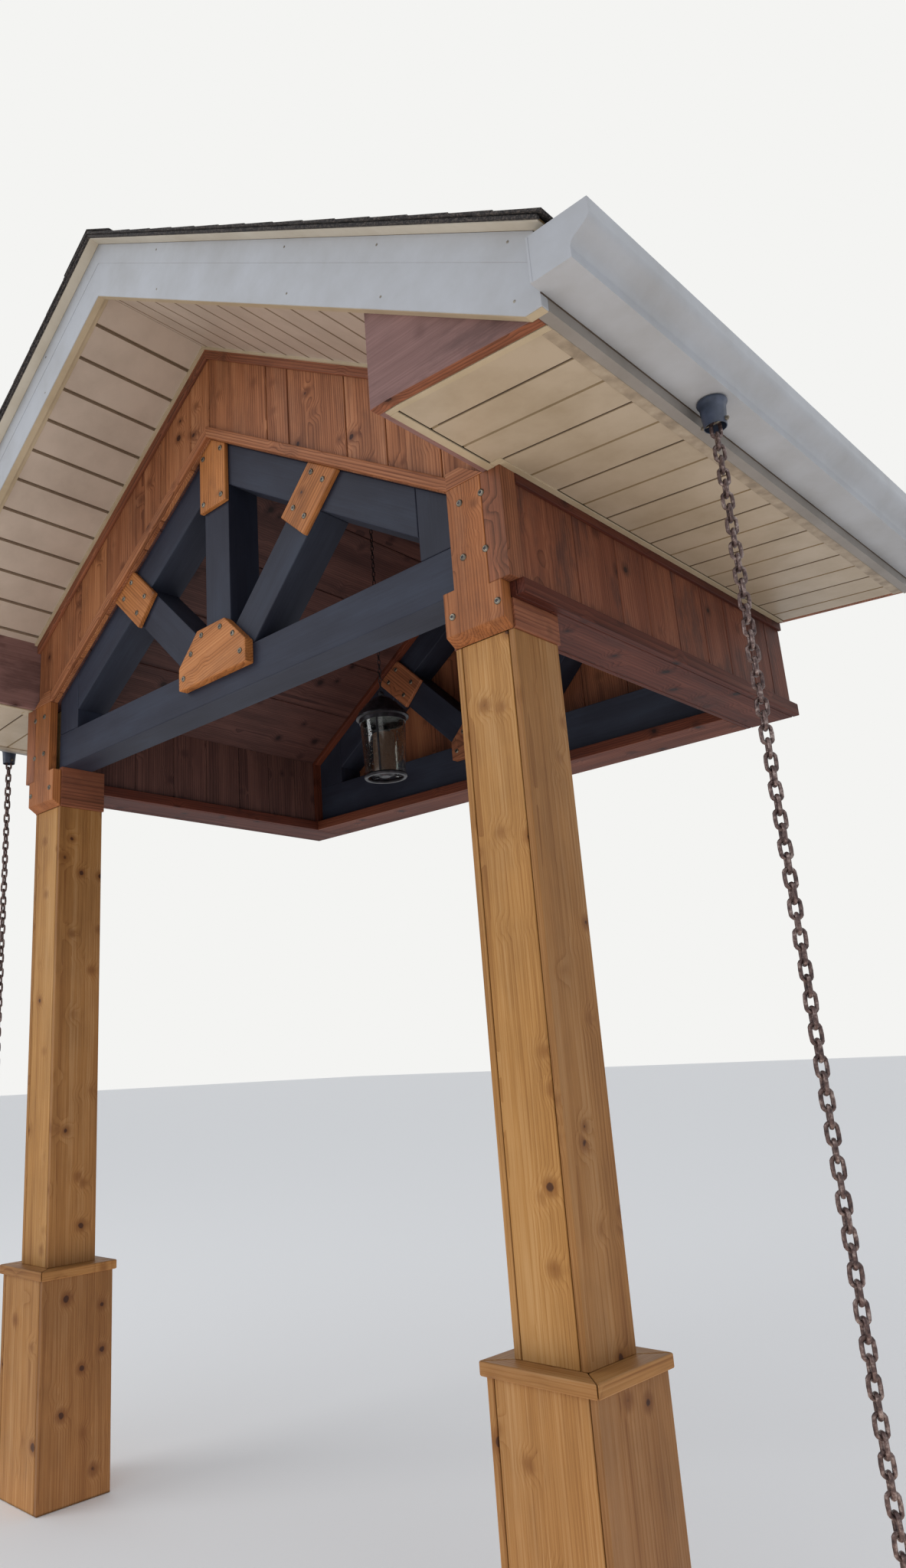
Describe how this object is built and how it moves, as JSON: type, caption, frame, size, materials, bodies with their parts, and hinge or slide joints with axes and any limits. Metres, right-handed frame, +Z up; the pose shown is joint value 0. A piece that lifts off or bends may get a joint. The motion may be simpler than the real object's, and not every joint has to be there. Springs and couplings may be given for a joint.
{
  "type": "porch canopy",
  "caption": "Gabled porch canopy on boxed cedar posts, with black trusses, cream soffits and fascia, shingle roof, gutters with rain chains and a hanging lantern.",
  "frame": {"origin": "wall face in the middle of the canopy, 2.8 m above the ground", "axes": "+X to the right seen from the front, +Y into the wall, +Z up"},
  "size_m": [3.836, 2.272, 4.367],
  "materials": {
    "stained_cedar": "semi-gloss clear stain",
    "framing_timber": "planed",
    "dark_stained_boards": "semi-gloss stain",
    "black_timber": "matte paint",
    "cream_soffit": "satin paint",
    "pale_aluminium": "satin paint",
    "asphalt_shingle": "mineral granules",
    "slate_metal": "satin paint",
    "weathered_chain": "weathered",
    "dark_bronze": "satin paint",
    "seeded_glass": "seeded"
  },
  "bodies": {
    "root": {"post_cores": "framing_timber", "left_pedestal": "stained_cedar", "right_pedestal": "stained_cedar", "pedestal_caps": "stained_cedar", "left_post_shaft": "stained_cedar", "right_post_shaft": "stained_cedar", "post_collars": "stained_cedar", "post_face_boards": "stained_cedar", "corner_boards": "stained_cedar", "side_sills": "stained_cedar", "side_headers": "framing_timber", "outer_wall_boards": "stained_cedar", "inner_wall_boards": "dark_stained_boards", "front_truss_posts": "black_timber", "front_truss_chords": "black_timber", "front_truss_struts": "black_timber", "front_gusset_plates": "stained_cedar", "rear_truss_posts": "black_timber", "rear_truss_chords": "black_timber", "rear_truss_struts": "black_timber", "rear_gusset_plates": "stained_cedar", "rear_sill": "stained_cedar", "rear_frame_trim": "stained_cedar", "rear_gable_wall": "dark_stained_boards", "front_gable_boards": "stained_cedar", "lower_rake_trim": "stained_cedar", "upper_rake_trim": "stained_cedar", "ceiling_boards": "dark_stained_boards", "rake_soffit": "cream_soffit", "left_eave_soffit": "cream_soffit", "right_eave_soffit": "cream_soffit", "eave_returns": "dark_stained_boards", "rake_fascia": "pale_aluminium", "eave_fascias": "pale_aluminium", "roof_deck": "framing_timber", "shingle_layer": "asphalt_shingle", "ridge_cap": "asphalt_shingle", "left_gutter": "pale_aluminium", "right_gutter": "pale_aluminium", "gutter_outlets": "slate_metal", "rain_chains": "weathered_chain", "lantern_chain": "dark_bronze", "lantern_cap": "dark_bronze", "lantern_glass": "seeded_glass", "lantern_base": "dark_bronze"}
  },
  "joints": []
}
